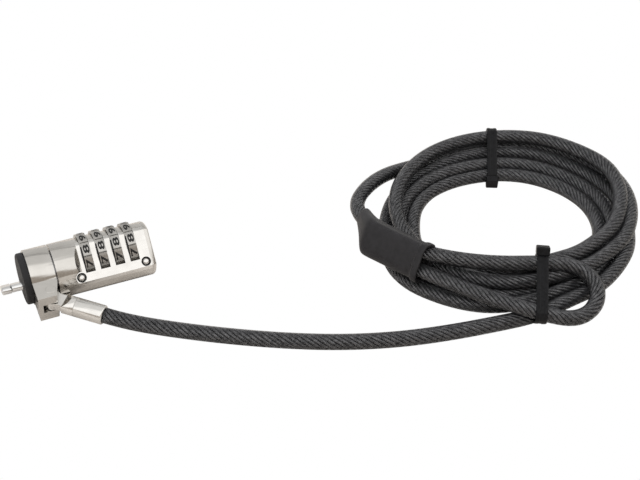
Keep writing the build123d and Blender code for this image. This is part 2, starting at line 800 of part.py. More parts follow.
def loop_crimp():
    start = SLEEVE_CENTRE - SLEEVE_ALONG * (CRIMP_L / 2)
    body = Plane(origin=start, x_dir=SLEEVE_TOP, z_dir=SLEEVE_ALONG)
    with BuildPart() as crimp:
        with BuildSketch(body):
            SlotOverall(CRIMP_H, CRIMP_T)
            with Locations((PASSAGE, 0), (-PASSAGE, 0)):
                Circle(CABLE_R, mode=Mode.SUBTRACT)
        extrude(amount=CRIMP_L)
    save(crimp.part, "loop_crimp")


def sleeve_point(along, side):
    """Point on a cable passage of the sleeve, above or below its centre line."""
    return SLEEVE_CENTRE + SLEEVE_ALONG * along + SLEEVE_TOP * (side * PASSAGE)


def cables():
    """Write the cable's three free stretches and return the two that pass into the sleeve."""
    crimp_end = CRIMP_L / 2
    cable("cable_lead", [PIN + PULL * FERRULE_END, *LEAD_ROUTE])
    tail = cable("cable_tail", [*TAIL_ROUTE, sleeve_point(-crimp_end, 1), sleeve_point(0, 1)])
    eye_loop = cable("cable_eye_loop", [sleeve_point(0, 1), sleeve_point(crimp_end, 1), *LOOP_ROUTE,
                                        sleeve_point(crimp_end, -1), sleeve_point(0, -1)])
    return tail, eye_loop


def main():
    os.makedirs("parts", exist_ok=True)
    barrel_housing()
    dial_cover_plate()
    cover_rivets()
    rear_end_cap()
    neck_bush()
    nose_bumper()
    nose_guide()
    t_bar_spindle()
    collar_retaining_ring()
    cable_collar()
    hinge_pin()
    cable_end_fitting()
    crimp_ferrule()
    for i, x in enumerate(DIALS_X):
        dial(i + 1, x)
    dial_sleeve()
    release_shaft()
    drive_arm()
    release_button()
    button_spring()
    detent_spring()
    reset_screw()
    cable_coil()
    strap("tie_front", *TIE_FRONT)
    strap("tie_back", *TIE_BACK)
    loop_sleeve(cables())
    loop_crimp()


main()
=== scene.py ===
import json
import math

import bmesh
import bpy
import numpy as np
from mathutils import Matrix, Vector


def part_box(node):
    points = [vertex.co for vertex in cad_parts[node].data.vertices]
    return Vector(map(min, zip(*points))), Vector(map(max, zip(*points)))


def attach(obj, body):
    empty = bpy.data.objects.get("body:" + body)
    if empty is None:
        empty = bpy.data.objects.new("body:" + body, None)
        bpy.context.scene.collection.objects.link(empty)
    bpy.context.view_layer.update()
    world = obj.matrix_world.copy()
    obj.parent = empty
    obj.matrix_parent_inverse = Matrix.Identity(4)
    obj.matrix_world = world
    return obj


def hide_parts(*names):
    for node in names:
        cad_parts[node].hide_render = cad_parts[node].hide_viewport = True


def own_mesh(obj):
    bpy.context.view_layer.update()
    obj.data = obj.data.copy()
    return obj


# Looks for the combination cable lock. The frame's origin is the centre of the rubber bumper's
# seating face, with +X along the barrel and +Z up. Lists of points are in millimetres.
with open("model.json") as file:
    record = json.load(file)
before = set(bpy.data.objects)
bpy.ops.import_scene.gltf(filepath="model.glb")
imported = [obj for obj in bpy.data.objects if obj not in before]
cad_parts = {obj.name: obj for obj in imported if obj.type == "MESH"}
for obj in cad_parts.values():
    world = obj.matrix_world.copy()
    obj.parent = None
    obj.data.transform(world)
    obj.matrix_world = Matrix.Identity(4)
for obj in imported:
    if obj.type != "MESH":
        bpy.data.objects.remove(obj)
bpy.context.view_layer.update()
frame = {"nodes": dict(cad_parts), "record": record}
MM = 0.001

# Directions of the CAD model
FACET_TILT = math.radians(38.0)
LUG_DROP = math.radians(12.0)
FITTING_TURN = math.radians(40.0)
ALONG = Vector((1, 0, 0))
OUT = Vector((0, -math.cos(FACET_TILT), math.sin(FACET_TILT)))
UP = Vector((0, math.sin(FACET_TILT), math.cos(FACET_TILT)))
REACH = Vector((0, -math.cos(LUG_DROP), -math.sin(LUG_DROP)))
PIN_X = 8.1
PIN_REACH = 13.2
PIN = ALONG * PIN_X + REACH * PIN_REACH
PULL = ALONG * math.cos(FITTING_TURN) + REACH * math.sin(FITTING_TURN)
FERRULE_LENGTH_FROM_PIN = 20.5
FERRULE_END = PIN + PULL * FERRULE_LENGTH_FROM_PIN
FLOOR_Z = -10.4

# Cable. The coil's first station takes the place of the lead's last point.
CABLE_R = 2.9
LYING_Z = FLOOR_Z + CABLE_R
LEAD_ROUTE = [
    (29.9, -30.8, -6.6),
    (43.0, -40.0, LYING_Z),
    (60.5, -52.0, LYING_Z),
    (79.5, -63.4, LYING_Z),
    (98.0, -72.5, LYING_Z),
    (116.5, -79.0, LYING_Z),
    (134.5, -83.0, LYING_Z),
    (152.0, -85.6, LYING_Z),
    (168.0, -87.4, LYING_Z),
]
TAIL_ROUTE = [
    (177.0, 14.0, -3.6),
    (165.2, 12.2, -2.2),
    (152.5, 6.8, 1.2),
    (141.0, -1.2, 3.6),
    (131.6, -10.2, 4.4),
    (128.2, -20.6, 5.2),
]
LOOP_ROUTE = [
    (149.0, -61.4, 5.6),
    (162.0, -68.6, 4.9),
    (176.0, -73.6, 4.3),
    (186.6, -76.8, 2.8),
    (192.4, -81.0, 0.6),
    (194.0, -87.0, -2.4),
    (190.8, -92.4, -5.0),
    (184.4, -95.4, -6.8),
    (176.6, -95.4, -6.2),
    (167.4, -92.0, -3.0),
    (159.2, -86.2, -0.8),
    (151.8, -77.6, -0.4),
    (144.6, -67.4, -0.2),
]
SLEEVE_CENTRE = Vector((132.3, -44.2, 3.6))
SLEEVE_ALONG = Vector((0.433, -0.901, 0)).normalized()
SLEEVE_TOP = Vector((0.405, 0.195, 0.893)).normalized()
PASSAGE = 3.2
CRIMP_HALF = 9.5

# The coil's turns: radius and height at ten stations a turn, with the first
# station where the lead joins them. Angles are in degrees.
COIL_CENTRE = (188.3, -36.8)
COIL_START = 263.7
STATION_TURN = 36.0
POINTS_PER_STATION = 2
COIL_TURNS = [
    [(48.1, -7.0), (45.0, -7.5), (46.2, -7.5), (52.4, -7.0), (53.3, -4.8),
     (48.4, -3.4), (49.6, -6.5), (50.2, -7.5), (56.2, -7.5), (51.7, -7.5)],
    [(42.4, -6.8), (39.4, -7.5), (40.4, -7.5), (44.6, -7.3), (44.2, -5.4),
     (41.1, -3.8), (43.5, -4.5), (45.0, -5.0), (50.4, -7.5), (45.6, -7.5)],
    [(36.8, -6.8), (33.8, -7.5), (35.0, -7.5), (37.2, -7.5), (38.4, -7.3),
     (37.9, -7.0), (40.0, -7.5), (39.3, -7.2), (43.0, -6.4), (37.4, -1.0)],
    [(34.0, 1.0), (35.2, 0.9), (41.8, 1.5), (52.5, 2.3), (54.5, 2.6),
     (51.4, 2.8), (48.0, 2.6), (46.6, 1.2), (45.6, -0.8), (43.0, -2.6)],
    [(39.9, -1.2), (40.6, -1.8), (46.8, -2.0), (56.0, -2.6), (57.6, -3.2), (53.4, -4.4)],
]

# Sleeve over the crimp
SLEEVE_HALF = 13.5
SLEEVE_H = 7.3
SLEEVE_T = 4.2
SLEEVE_SIDES = 32
NECK_R = 4.1
NECK_MOUTH_R = 3.15
WRINKLE = 0.09

# Cable ties: a point on each, the direction across the turns in degrees, and the way that its
# lock head faces
TIES = {
    "tie_front": ((173.6, -80.2), 239.0, (-0.55, 1.0)),
    "tie_back": ((203.6, 5.6), 63.0, (-1.0, -0.35)),
}
TIE_REACH = 24.0
RIM_SIDES = 32
STRAP_GAP = 0.1
STRAP_STEP = 0.8
STRAP_W = 4.2
STRAP_T = 1.0
HEAD_LONG = 4.8
HEAD_WIDE = 5.0
HEAD_THICK = 3.2
HEAD_LIFT = 0.3
HEAD_EDGE = 0.5

# Return spring of the release button, between the barrel plug and the drive arm
SPRING_R = 2.0
SPRING_WIRE_R = 0.18
SPRING_TURNS = 4
SPRING_STEPS = 24
SPRING_SIDES = 8

# Dials
DIALS = 4
DIGITS = 10
DIAL_R = 8.6
DIAL_UP = 2.8
DIAL_X = 24.45
DIAL_PITCH = 5.65
WINDOW_HALF = 1.8
# Black strips of painted shade in the gap beside each dial wheel
GAP_W = 0.5
GAP_LOW = math.radians(-46.0)
GAP_HIGH = math.radians(22.0)
GAP_STEPS = 14
GAP_OUT = (0.02, 0.07)
RIVET_X = (20.6, 45.2)
RIVET_UP = -5.0
# Ring of painted shade on the floor of each rivet seat
SEAT_R = (1.18, 1.78)
SEAT_OUT = 7.36
SEAT_T = 0.04
SEAT_SIDES = 40
DIGIT_TURN = 2 * math.pi / DIGITS
DIGIT_LEAN = math.radians(14.5)
DIGIT_H = 2.35
DIGIT_W = 3.4
DIGIT_SHIFT = 0.25
DIGIT_CUTS = 9
DIGIT_WEIGHT = 0.028
ONE_WIDTH = 0.62
FACING_DIGIT = 8
INK_OUT = 0.03
INK_T = 0.08
# Black strip of painted shade for the groove line between two digits
GROOVE_SHADE_LONG = 3.0
GROOVE_SHADE_WIDE = 0.14

# Wire rope inside the jacket
STRANDS = 9
STRAND_R = 0.65
STRAND_RING_R = 2.17
CORE_R = 1.6
LAY = 22.0
LAY_STEPS = 14
STRAND_SIDES = 6


def sleeve_point(along, side):
    """Point on a cable passage of the sleeve, above or below its centre line."""
    return SLEEVE_CENTRE + SLEEVE_ALONG * along + SLEEVE_TOP * (side * PASSAGE)


def coil_points():
    """Points along the coil's turns, from where the lead joins to where the tail leaves."""
    stations = [station for turn in COIL_TURNS for station in turn]
    step = STATION_TURN / POINTS_PER_STATION
    swell = 1 / math.cos(math.radians(step / 2))
    points = []
    for i in range((len(stations) - 1) * POINTS_PER_STATION + 1):
        before, part = divmod(i, POINTS_PER_STATION)
        after = min(before + 1, len(stations) - 1)
        share = part / POINTS_PER_STATION
        radius, height = Vector(stations[before]).lerp(Vector(stations[after]), share)
        angle = math.radians(COIL_START + i * step)
        x = COIL_CENTRE[0] + radius * swell * math.cos(angle)
        y = COIL_CENTRE[1] + radius * swell * math.sin(angle)
        points.append((x, y, height))
    return points


def cable_route():
    """The whole cable, from the ferrule round the coil and the eye loop to its crimped end."""
    tail_in = [sleeve_point(-CRIMP_HALF, 1), sleeve_point(0, 1), sleeve_point(CRIMP_HALF, 1)]
    loop_end = [sleeve_point(CRIMP_HALF, -1), sleeve_point(0, -1), sleeve_point(-CRIMP_HALF, -1)]
    return [FERRULE_END, *LEAD_ROUTE, *coil_points(), *TAIL_ROUTE, *tail_in, *LOOP_ROUTE, *loop_end]


def collection_object(name, data):
    """A new object in the scene."""
    made = bpy.data.objects.new(name, data)
    bpy.context.scene.collection.objects.link(made)
    return made


def nurbs_curve(name, points):
    """A smooth open curve with these control points, in millimetres."""
    curve = bpy.data.curves.new(name, "CURVE")
    curve.dimensions = "3D"
    curve.resolution_u = 6
    spline = curve.splines.new("NURBS")
    spline.points.add(len(points) - 1)
    for point, place in zip(spline.points, points):
        point.co = (*(Vector(place) * MM), 1)
    spline.order_u = 3
    spline.use_endpoint_u = True
    return curve


def curve_line(curve):
    """The points that a curve passes through, as an array in metres."""
    bare = bpy.data.objects.new("bare_line", curve.copy())
    bare.data.bevel_depth = 0
    mesh = bpy.data.meshes.new_from_object(bare)
    line = np.array([vertex.co for vertex in mesh.vertices])
    bpy.data.meshes.remove(mesh)
    bpy.data.curves.remove(bare.data)
    return line


def resampled(line, step):
    """The line again with evenly spaced points about step apart."""
    lengths = np.linalg.norm(np.diff(line, axis=0), axis=1)
    travelled = np.concatenate([[0], np.cumsum(lengths)])
    count = max(2, round(travelled[-1] / step) + 1)
    places = np.linspace(0, travelled[-1], count)
    return np.stack([np.interp(places, travelled, column) for column in line.T], axis=1)


def line_frames(line):
    """Two directions across the line at each point, carried along it without twisting."""
    tangents = np.gradient(line, axis=0)
    tangents /= np.linalg.norm(tangents, axis=1)[:, None]
    side = np.cross(tangents[0], (0, 0, 1))
    sides = []
    for tangent in tangents:
        side = side - tangent * np.dot(side, tangent)
        side /= np.linalg.norm(side)
        sides.append(side)
    sides = np.array(sides)
    return sides, np.cross(tangents, sides)


def mesh_object(name, vertices, faces, smooth=True):
    """A mesh object from arrays of vertices in metres and faces."""
    mesh = bpy.data.meshes.new(name)
    mesh.from_pydata([tuple(v) for v in vertices], [], [tuple(int(i) for i in f) for f in faces])
    mesh.validate()
    mesh.update()
    for polygon in mesh.polygons:
        polygon.use_smooth = smooth
    return collection_object(name, mesh)


def tube_grid(rings, sides, closed=False):
    """Faces that join rings of vertices into a tube, with caps at the ends of an open one."""
    faces = []
    for ring in range(rings if closed else rings - 1):
        after = (ring + 1) % rings
        for side in range(sides):
            beside = (side + 1) % sides
            faces.append((ring * sides + side, ring * sides + beside,
                          after * sides + beside, after * sides + side))
    if not closed:
        faces.append(tuple(reversed(range(sides))))
        faces.append(tuple((rings - 1) * sides + side for side in range(sides)))
    return faces


def shifted(faces, first):
    """The same faces on vertices that start at first."""
    return [tuple(first + i for i in face) for face in faces]


def wire_rope(line):
    """The laid strands of the steel rope: each one winds round the line at its own start angle."""
    line = resampled(line, LAY * MM / LAY_STEPS)
    sides, ups = line_frames(line)
    travelled = np.arange(len(line)) * 2 * math.pi / LAY_STEPS
    round_strand = np.arange(STRAND_SIDES) * 2 * math.pi / STRAND_SIDES
    vertices, faces = [], []
    for strand in range(STRANDS):
        turn = travelled + strand * 2 * math.pi / STRANDS
        outward = sides * np.cos(turn)[:, None] + ups * np.sin(turn)[:, None]
        centre = line + outward * STRAND_RING_R * MM
        around, across = line_frames(centre)
        rings = (centre[:, None, :]
                 + around[:, None, :] * (np.cos(round_strand) * STRAND_R * MM)[None, :, None]
                 + across[:, None, :] * (np.sin(round_strand) * STRAND_R * MM)[None, :, None])
        first = strand * len(line) * STRAND_SIDES
        vertices.append(rings.reshape(-1, 3))
        faces += shifted(tube_grid(len(line), STRAND_SIDES), first)
    return mesh_object("wire_rope", np.concatenate(vertices), faces)


# Materials

def new_material(name):
    """A new node material: itself, its nodes, its links and its Principled shader."""
    material = bpy.data.materials.new(name)
    material.use_nodes = True
    nodes, links = material.node_tree.nodes, material.node_tree.links
    return material, nodes, links, nodes["Principled BSDF"]


def grain(nodes, links, scale, stretch, detail):
    """Noise in object space, stretched by different scales along the three axes."""
    place = nodes.new("ShaderNodeTexCoord")
    mapping = nodes.new("ShaderNodeMapping")
    mapping.inputs["Scale"].default_value = stretch
    noise = nodes.new("ShaderNodeTexNoise")
    noise.inputs["Scale"].default_value = scale
    noise.inputs["Detail"].default_value = detail
    links.new(place.outputs["Object"], mapping.inputs["Vector"])
    links.new(mapping.outputs["Vector"], noise.inputs["Vector"])
    return noise.outputs["Fac"]


def ramp(nodes, links, source, low, high, start=0.3, end=0.7):
    """A value or colour that runs from low to high with the source."""
    node = nodes.new("ShaderNodeValToRGB")
    node.color_ramp.elements[0].position = start
    node.color_ramp.elements[1].position = end
    for element, value in zip(node.color_ramp.elements, (low, high)):
        element.color = (*value, 1) if hasattr(value, "__len__") else (value, value, value, 1)
    links.new(source, node.inputs["Fac"])
    return node.outputs["Color"]


def bump(nodes, links, height, strength, distance):
    """A bump normal from a height."""
    node = nodes.new("ShaderNodeBump")
    node.inputs["Strength"].default_value = strength
    node.inputs["Distance"].default_value = distance
    links.new(height, node.inputs["Height"])
    return node.outputs["Normal"]


def brushed_metal(name, light, dark, smooth, rough, stretch, strength=0.15):
    """Metal with fine brush lines along one axis and slow changes of tone."""
    material, nodes, links, shader = new_material(name)
    lines = grain(nodes, links, 1.0, stretch, 6.0)
    cloud = grain(nodes, links, 160.0, (1, 1, 1), 2.0)
    shader.inputs["Metallic"].default_value = 1.0
    links.new(ramp(nodes, links, cloud, dark, light), shader.inputs["Base Color"])
    links.new(ramp(nodes, links, lines, smooth, rough), shader.inputs["Roughness"])
    links.new(bump(nodes, links, lines, strength, 0.00002), shader.inputs["Normal"])
    return material


def plain_surface(name, low, high, smooth, rough, scale, strength, specular=0.3):
    """Plastic, rubber or paint with a fine pebbled grain."""
    material, nodes, links, shader = new_material(name)
    pebble = grain(nodes, links, scale, (1, 1, 1), 4.0)
    shader.inputs["Specular IOR Level"].default_value = specular
    links.new(ramp(nodes, links, pebble, low, high), shader.inputs["Base Color"])
    links.new(ramp(nodes, links, pebble, smooth, rough), shader.inputs["Roughness"])
    links.new(bump(nodes, links, pebble, strength, 0.00005), shader.inputs["Normal"])
    return material


def jacket_material():
    """Clear smoke-grey jacket: mostly see-through, with a soft gloss."""
    material, nodes, links, shader = new_material("smoke_jacket")
    shader.inputs["Base Color"].default_value = (0.022, 0.022, 0.024, 1)
    shader.inputs["Roughness"].default_value = 0.22
    shader.inputs["IOR"].default_value = 1.5
    edge = nodes.new("ShaderNodeLayerWeight")
    edge.inputs["Blend"].default_value = 0.5
    links.new(ramp(nodes, links, edge.outputs["Facing"], 0.26, 0.96, 0.55, 0.86),
              shader.inputs["Alpha"])
    return material


def rope_material():
    """Steel strands dulled by the jacket's tint."""
    material, nodes, links, shader = new_material("rope_steel")
    wires = grain(nodes, links, 700.0, (1, 1, 1), 3.0)
    shader.inputs["Metallic"].default_value = 0.8
    links.new(ramp(nodes, links, wires, (0.055, 0.055, 0.058), (0.20, 0.20, 0.208)),
              shader.inputs["Base Color"])
    shader.inputs["Roughness"].default_value = 0.30
    return material


def core_material():
    """Near-black core that the strands lie on: painted shade in the gaps between the strands."""
    return plain_surface("rope_core", (0.012, 0.012, 0.013), (0.018, 0.018, 0.019),
                         0.5, 0.7, 900.0, 0.0)


def ink_material():
    """Black paint in the digits, and painted shade in the grooves between them, the rivet seats and
    the gaps beside the dials.
    """
    return plain_surface("ink_and_painted_shade", (0.006, 0.006, 0.006), (0.012, 0.012, 0.012),
                         0.35, 0.5, 2000.0, 0.0)


def slot_materials():
    """The material of every slot that the CAD nodes use."""
    along_barrel = (90, 2200, 2200)
    return {
        "brushed_nickel": brushed_metal("satin_nickel", (0.64, 0.62, 0.59), (0.58, 0.56, 0.53),
                                        0.17, 0.23, (1500, 120, 120), 0.02),
        "bright_plate": brushed_metal("bright_nickel", (0.80, 0.785, 0.76), (0.70, 0.685, 0.66),
                                      0.18, 0.26, along_barrel, 0.03),
        "polished_steel": brushed_metal("polished_steel", (0.78, 0.78, 0.78), (0.66, 0.66, 0.66),
                                        0.10, 0.16, (200, 1500, 1500), 0.02),
        "dial_nickel": brushed_metal("dial_nickel", (0.56, 0.545, 0.52), (0.42, 0.41, 0.39),
                                     0.26, 0.38, (1500, 200, 200), 0.05),
        "brass": brushed_metal("turned_brass", (0.66, 0.46, 0.19), (0.52, 0.35, 0.13),
                               0.22, 0.36, (9000, 300, 300)),
        "spring_steel": brushed_metal("spring_steel", (0.42, 0.42, 0.43), (0.30, 0.30, 0.31),
                                      0.20, 0.34, (300, 5000, 300)),
        "bumper_rubber": plain_surface("bumper_rubber", (0.010, 0.010, 0.011),
                                       (0.018, 0.018, 0.019), 0.55, 0.70, 2500.0, 0.25),
        "sleeve_vinyl": plain_surface("sleeve_vinyl", (0.010, 0.0095, 0.0105),
                                      (0.017, 0.016, 0.018), 0.34, 0.48, 450.0, 0.30),
        "crimp_metal": brushed_metal("pressed_aluminium", (0.62, 0.62, 0.63), (0.50, 0.50, 0.51),
                                     0.28, 0.42, (900, 900, 900)),
        "tie_nylon": plain_surface("tie_nylon", (0.004, 0.004, 0.0045), (0.008, 0.008, 0.009),
                                   0.26, 0.38, 900.0, 0.15, 0.15),
    }


def dress_cad(materials):
    """Gives every CAD node its slot's material, or another for two of them, and softens the
    edges of the metal ones."""
    slots = {entry["node"]: entry["material_slot"] for entry in frame["record"]["subparts"]}
    soft_edges = {
        "barrel_housing": 0.16, "cable_collar": 0.22, "dial_cover_plate": 0.10,
        "rear_end_cap": 0.12, "cable_end_fitting": 0.18, "crimp_ferrule": 0.14,
        "nose_guide": 0.20, "t_bar_spindle": 0.18, "release_button": 0.12, "hinge_pin": 0.10,
    }
    for name, node in frame["nodes"].items():
        slot = slots[name]
        if slot in materials:
            give(node, materials[slot])
        if name == "neck_bush":
            give(node, materials["spring_steel"])
        if name == "hinge_pin":
            give(node, materials["brushed_nickel"])
        if name in soft_edges:
            weld = node.modifiers.new("weld", "WELD")
            weld.merge_threshold = 0.000004
            bevel = node.modifiers.new("edge", "BEVEL")
            bevel.width = soft_edges[name] * MM
            bevel.segments = 2
            bevel.limit_method = "ANGLE"
            bevel.angle_limit = math.radians(32)
            bevel.use_clamp_overlap = True
            bevel.harden_normals = True


def give(piece, material):
    """Puts one material on a piece, in place of what it has."""
    piece.data.materials.clear()
    piece.data.materials.append(material)


# Pieces

def cable():
    """The jacketed cable in one length, and the wire rope inside it."""
    curve = nurbs_curve("security_cable", cable_route())
    line = curve_line(curve)
    curve.bevel_depth = CABLE_R * MM
    curve.bevel_resolution = 5
    curve.use_fill_caps = True
    jacket = collection_object("security_cable", curve)
    give(jacket, jacket_material())
    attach(jacket, "cable")
    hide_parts("cable_lead", "cable_coil", "cable_tail", "cable_eye_loop")
    rope = wire_rope(line)
    give(rope, rope_material())
    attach(rope, "cable")
    # near-black core under the strands, painted shade between them
    core_curve = nurbs_curve("rope_core", cable_route())
    core_curve.bevel_depth = CORE_R * MM
    core_curve.bevel_resolution = 2
    core_curve.use_fill_caps = True
    core = collection_object("rope_core", core_curve)
    give(core, core_material())
    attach(core, "cable")
    return jacket, [rope, core], line


def hull(points):
    """Convex outline of flat points, counter-clockwise."""
    points = sorted(map(tuple, points))

    def left_bend(before, corner, after):
        return ((corner[0] - before[0]) * (after[1] - before[1])
                - (corner[1] - before[1]) * (after[0] - before[0]))

    def half(ordered):
        chain = []
        for point in ordered:
            while len(chain) > 1 and left_bend(chain[-2], chain[-1], point) <= 0:
                chain.pop()
            chain.append(point)
        return chain[:-1]
    return np.array(half(points) + half(points[::-1]))


def crossings(line, middle, across, reach):
    """Where the cable crosses the upright plane through middle: distance along it, and height."""
    normal = np.array([-across[1], across[0]])
    flat = line[:, :2] / MM - middle
    side = flat @ normal
    found = []
    for i in np.nonzero(side[:-1] * side[1:] < 0)[0]:
        share = side[i] / (side[i] - side[i + 1])
        place = line[i] / MM + (line[i + 1] - line[i]) / MM * share
        distance = (place[:2] - middle) @ across
        if abs(distance) < reach:
            found.append((distance, place[2]))
    return found


def cable_tie(name, line, material):
    """A nylon tie drawn tight round every turn that crosses its plane, with its lock head."""
    middle, turn, head_way = TIES[name]
    middle = np.array(middle)
    across = np.array([math.cos(math.radians(turn)), math.sin(math.radians(turn))])
    normal = np.array([-across[1], across[0]])
    found = crossings(line, middle, across, TIE_REACH)
    turns = np.linspace(0, 2 * math.pi, RIM_SIDES, endpoint=False)
    rim_r = CABLE_R + STRAP_GAP
    rims = np.concatenate([np.stack([d + rim_r * np.cos(turns), h + rim_r * np.sin(turns)], axis=1)
                           for d, h in found])
    outline = hull(rims)
    outline = resampled(np.vstack([outline, outline[:1]]), STRAP_STEP)[:-1]
    ahead = np.roll(outline, -1, axis=0) - np.roll(outline, 1, axis=0)
    outward = np.stack([ahead[:, 1], -ahead[:, 0]], axis=1)
    outward /= np.linalg.norm(outward, axis=1)[:, None]
    # the strap's section, in shares of its width and of its thickness out from the cables
    section = [(-0.5, 0.12), (-0.44, 0.0), (0.44, 0.0), (0.5, 0.12), (0.5, 0.72), (0.42, 0.95),
               (0.22, 1.0), (0.16, 0.86), (-0.16, 0.86), (-0.22, 1.0), (-0.42, 0.95), (-0.5, 0.72)]
    vertices = []
    for (d, h), out in zip(outline, outward):
        for wide, thick in section:
            flat = middle + across * (d + out[0] * thick * STRAP_T) + normal * (wide * STRAP_W)
            # on the floor the inner face stays above the outer one
            height = max(h + out[1] * thick * STRAP_T, FLOOR_Z + 0.05 + 0.5 * (1 - thick))
            vertices.append((flat[0] * MM, flat[1] * MM, height * MM))
    strap = mesh_object(name + "_strap", vertices,
                        tube_grid(len(outline), len(section), closed=True), smooth=False)
    give(strap, material)
    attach(strap, "cable")
    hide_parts(name)
    # the head stands on the outline where it faces head_way
    scores = outward @ np.array(head_way)
    spot = int(np.argmax(scores))
    out2, run2 = outward[spot], np.array([-outward[spot][1], outward[spot][0]])
    base = outline[spot]
    out3 = Vector((*(across * out2[0]), out2[1]))
    run3 = Vector((*(across * run2[0]), run2[1]))
    wide3 = Vector((*normal, 0))
    centre = Vector((*(middle + across * base[0]), base[1])) + out3 * (HEAD_LIFT + HEAD_THICK / 2)
    bottom = centre.z - abs(out3.z) * HEAD_THICK / 2 - abs(run3.z) * HEAD_LONG / 2
    centre.z += max(0.0, FLOOR_Z + 0.1 - bottom)
    head = box_object(name + "_head", centre, (wide3, run3, out3),
                      (HEAD_WIDE, HEAD_LONG, HEAD_THICK), HEAD_EDGE)
    give(head, material)
    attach(head, "cable")
    return [strap, head]


def box_object(name, centre, axes, size, edge):
    """A box with rounded edges. Centre, size and edge are in millimetres."""
    wide, run, out = (axis.normalized() * length / 2 for axis, length in zip(axes, size))
    signs = [(a, b, c) for a in (-1, 1) for b in (-1, 1) for c in (-1, 1)]
    corners = [(centre + wide * a + run * b + out * c) * MM for a, b, c in signs]
    faces = [(0, 1, 3, 2), (4, 6, 7, 5), (0, 4, 5, 1), (2, 3, 7, 6), (0, 2, 6, 4), (1, 5, 7, 3)]
    box = mesh_object(name, corners, faces)
    bevel = box.modifiers.new("edge", "BEVEL")
    bevel.width = edge * MM
    bevel.segments = 3
    bevel.harden_normals = True
    return box


def superellipse(count, wide, tall, power):
    """Points of a rounded rectangle."""
    points = []
    for i in range(count):
        turn = 2 * math.pi * i / count
        c, s = math.cos(turn), math.sin(turn)
        points.append((math.copysign(abs(c) ** (2 / power), c) * wide,
                       math.copysign(abs(s) ** (2 / power), s) * tall))
    return points


def shrunk_sleeve(material):
    """The vinyl sleeve shrunk over the crimp, necked down on the cable's side."""
    side = SLEEVE_ALONG.cross(SLEEVE_TOP).normalized()
    neck = Vector(TAIL_ROUTE[-1]) - SLEEVE_CENTRE
    neck_along, neck_top, neck_side = neck.dot(SLEEVE_ALONG), neck.dot(SLEEVE_TOP), neck.dot(side)
    # along the sleeve, shift towards the top and the side, half sizes, squareness
    stations = [
        (neck_along + 1.6, neck_top, neck_side, NECK_MOUTH_R, NECK_MOUTH_R, 2.0),
        (neck_along + 1.6, neck_top, neck_side, NECK_R - 0.3, NECK_R - 0.3, 2.0),
        (neck_along + 2.2, neck_top, neck_side, NECK_R, NECK_R, 2.0),
        (-17.0, 2.6, neck_side * 0.45, 5.4, 4.2, 2.3),
        (-15.0, 1.2, neck_side * 0.2, 6.6, 4.2, 2.8),
        (-13.2, 0.2, 0, 7.3, 4.2, 3.4),
        (-11.0, 0, 0, SLEEVE_H, SLEEVE_T, 3.8),
        (-5.0, 0, 0, 7.15, 4.1, 3.8),
        (2.0, 0, 0, 7.2, 4.12, 3.8),
        (9.6, 0, 0, 7.1, 4.05, 3.8),
        (10.3, 0, 0, 7.15, 4.1, 3.8),
        (10.7, 0, 0, 7.6, 4.55, 3.8),
        (11.2, 0, 0, 7.75, 4.7, 3.8),
        (13.2, 0, 0, 7.75, 4.7, 3.8),
        (SLEEVE_HALF, 0, 0, 7.6, 4.5, 3.8),
        (SLEEVE_HALF, 0, 0, 6.8, 3.7, 3.6),
        (12.8, 0, 0, 6.5, 3.4, 3.4),
        (10.0, 0, 0, 6.4, 3.3, 3.4),
    ]
    vertices = []
    for along, up, aside, tall, thick, power in stations:
        for i, (t, w) in enumerate(superellipse(SLEEVE_SIDES, tall, thick, power)):
            swell = WRINKLE * math.sin(along * 0.9 + i * 0.7) * math.sin(along * 0.37 + i * 1.3)
            swell *= min(tall, thick) > 4
            place = (SLEEVE_CENTRE + SLEEVE_ALONG * along + SLEEVE_TOP * (up + t * (1 + swell / 7))
                     + side * (aside + w * (1 + swell / 4)))
            place.z = max(place.z, FLOOR_Z + 0.1)
            vertices.append(place * MM)
    sleeve = mesh_object("shrunk_sleeve", vertices, tube_grid(len(stations), SLEEVE_SIDES))
    smooth = sleeve.modifiers.new("soft", "SUBSURF")
    smooth.levels = smooth.render_levels = 2
    give(sleeve, material)
    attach(sleeve, "cable")
    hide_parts("loop_sleeve")
    return sleeve


def return_spring(material):
    """The coil spring that brings the button back."""
    low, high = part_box("button_spring")
    start, end = low[0] + SPRING_WIRE_R * MM, high[0] - SPRING_WIRE_R * MM
    angles = np.linspace(0, SPRING_TURNS * 2 * math.pi, SPRING_TURNS * SPRING_STEPS + 1)
    radius = SPRING_R * MM
    line = np.stack([np.linspace(start, end, len(angles)),
                     (low[1] + high[1]) / 2 + radius * np.cos(angles),
                     (low[2] + high[2]) / 2 + radius * np.sin(angles)], axis=1)
    across, beside = line_frames(line)
    around = np.arange(SPRING_SIDES) * 2 * math.pi / SPRING_SIDES
    wire = SPRING_WIRE_R * MM
    rings = (line[:, None, :] + across[:, None, :] * (np.cos(around) * wire)[None, :, None]
             + beside[:, None, :] * (np.sin(around) * wire)[None, :, None])
    spring = mesh_object("return_spring", rings.reshape(-1, 3), tube_grid(len(line), SPRING_SIDES))
    give(spring, material)
    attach(spring, "barrel")
    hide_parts("button_spring")
    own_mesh(spring)


